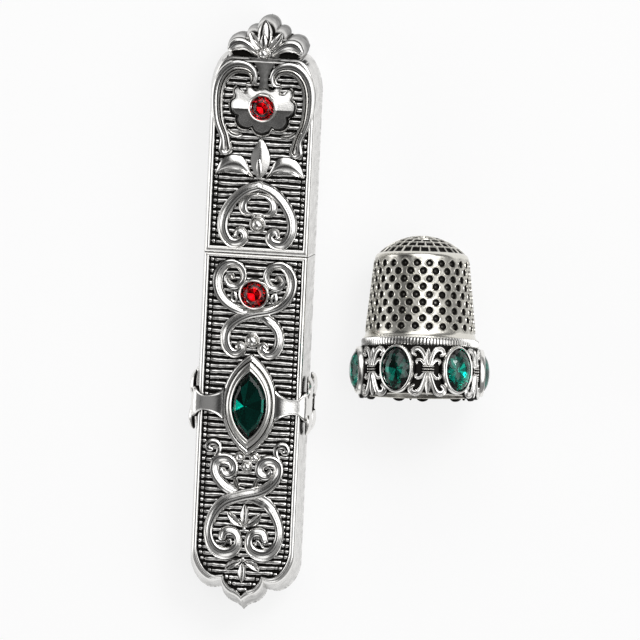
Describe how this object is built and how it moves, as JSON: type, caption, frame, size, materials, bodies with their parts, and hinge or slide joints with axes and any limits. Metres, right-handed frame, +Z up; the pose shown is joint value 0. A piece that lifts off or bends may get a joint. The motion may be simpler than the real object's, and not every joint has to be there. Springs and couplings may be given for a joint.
{
  "type": "needle case with thimble",
  "caption": "Slim box-section needle case with a pull-off cap, scrollwork and set stones, beside a matching banded thimble.",
  "frame": {"origin": "on the case's long axis, at mid-depth, in the plane where the cap meets the body", "axes": "the case lies on its back: +X across it towards the thimble, +Y along it towards the cap, +Z up out of its front"},
  "size_m": [0.0431, 0.0863, 0.0198],
  "materials": {
    "antique_silver": "silver plate over cast metal, antiqued: polished high parts, black-brown oxide in the recesses",
    "collet_silver": "polished silver plate",
    "sleeve_metal": "plain drawn tube, satin",
    "thimble_silver": "antiqued silver plate, dark in the dimples and on the band's ground",
    "red_glass": "faceted red glass, foiled behind",
    "green_glass": "faceted green glass, foiled behind"
  },
  "bodies": {
    "case_body": {"body_beads_back": "antique_silver", "body_beads_front": "antique_silver", "body_collet_back": "collet_silver", "body_collet_front": "collet_silver", "body_lower_scroll_back": "antique_silver", "body_lower_scroll_front": "antique_silver", "body_red_stone_back": "red_glass", "body_red_stone_front": "red_glass", "body_shell_back": "antique_silver", "body_shell_front": "antique_silver", "body_sprigs_back": "antique_silver", "body_sprigs_front": "antique_silver", "body_upper_scroll_back": "antique_silver", "body_upper_scroll_front": "antique_silver", "needle_sleeve": "sleeve_metal", "waist_collet_back": "collet_silver", "waist_collet_front": "collet_silver", "waist_green_stone_back": "green_glass", "waist_green_stone_front": "green_glass", "waist_mount_back": "antique_silver", "waist_mount_front": "antique_silver"},
    "cap": {"cap_bead_back": "antique_silver", "cap_bead_front": "antique_silver", "cap_collet_back": "collet_silver", "cap_collet_front": "collet_silver", "cap_finial": "antique_silver", "cap_heart_scroll_back": "antique_silver", "cap_heart_scroll_front": "antique_silver", "cap_horseshoe_back": "antique_silver", "cap_horseshoe_front": "antique_silver", "cap_leaves_back": "antique_silver", "cap_leaves_front": "antique_silver", "cap_red_stone_back": "red_glass", "cap_red_stone_front": "red_glass", "cap_rosette_back": "antique_silver", "cap_rosette_front": "antique_silver", "cap_shell_back": "antique_silver", "cap_shell_front": "antique_silver", "finial_palmette_back": "antique_silver", "finial_palmette_front": "antique_silver"},
    "thimble": {"thimble_bead_ring": "thimble_silver", "thimble_collet_1": "collet_silver", "thimble_collet_2": "collet_silver", "thimble_collet_3": "collet_silver", "thimble_collet_4": "collet_silver", "thimble_collet_5": "collet_silver", "thimble_collet_6": "collet_silver", "thimble_fleurs": "thimble_silver", "thimble_shell": "thimble_silver", "thimble_stone_1": "green_glass", "thimble_stone_2": "green_glass", "thimble_stone_3": "green_glass", "thimble_stone_4": "green_glass", "thimble_stone_5": "green_glass", "thimble_stone_6": "green_glass"}
  },
  "joints": [
    {"name": "cap_pull", "type": "slide", "parent": "case_body", "child": "cap", "axis": [0, 1, 0], "range_m": [0, 0.03]},
    {"name": "thimble_lift", "type": "slide", "parent": "case_body", "child": "thimble", "axis": [0, 0, 1], "range_m": [0, 0.03]}
  ]
}
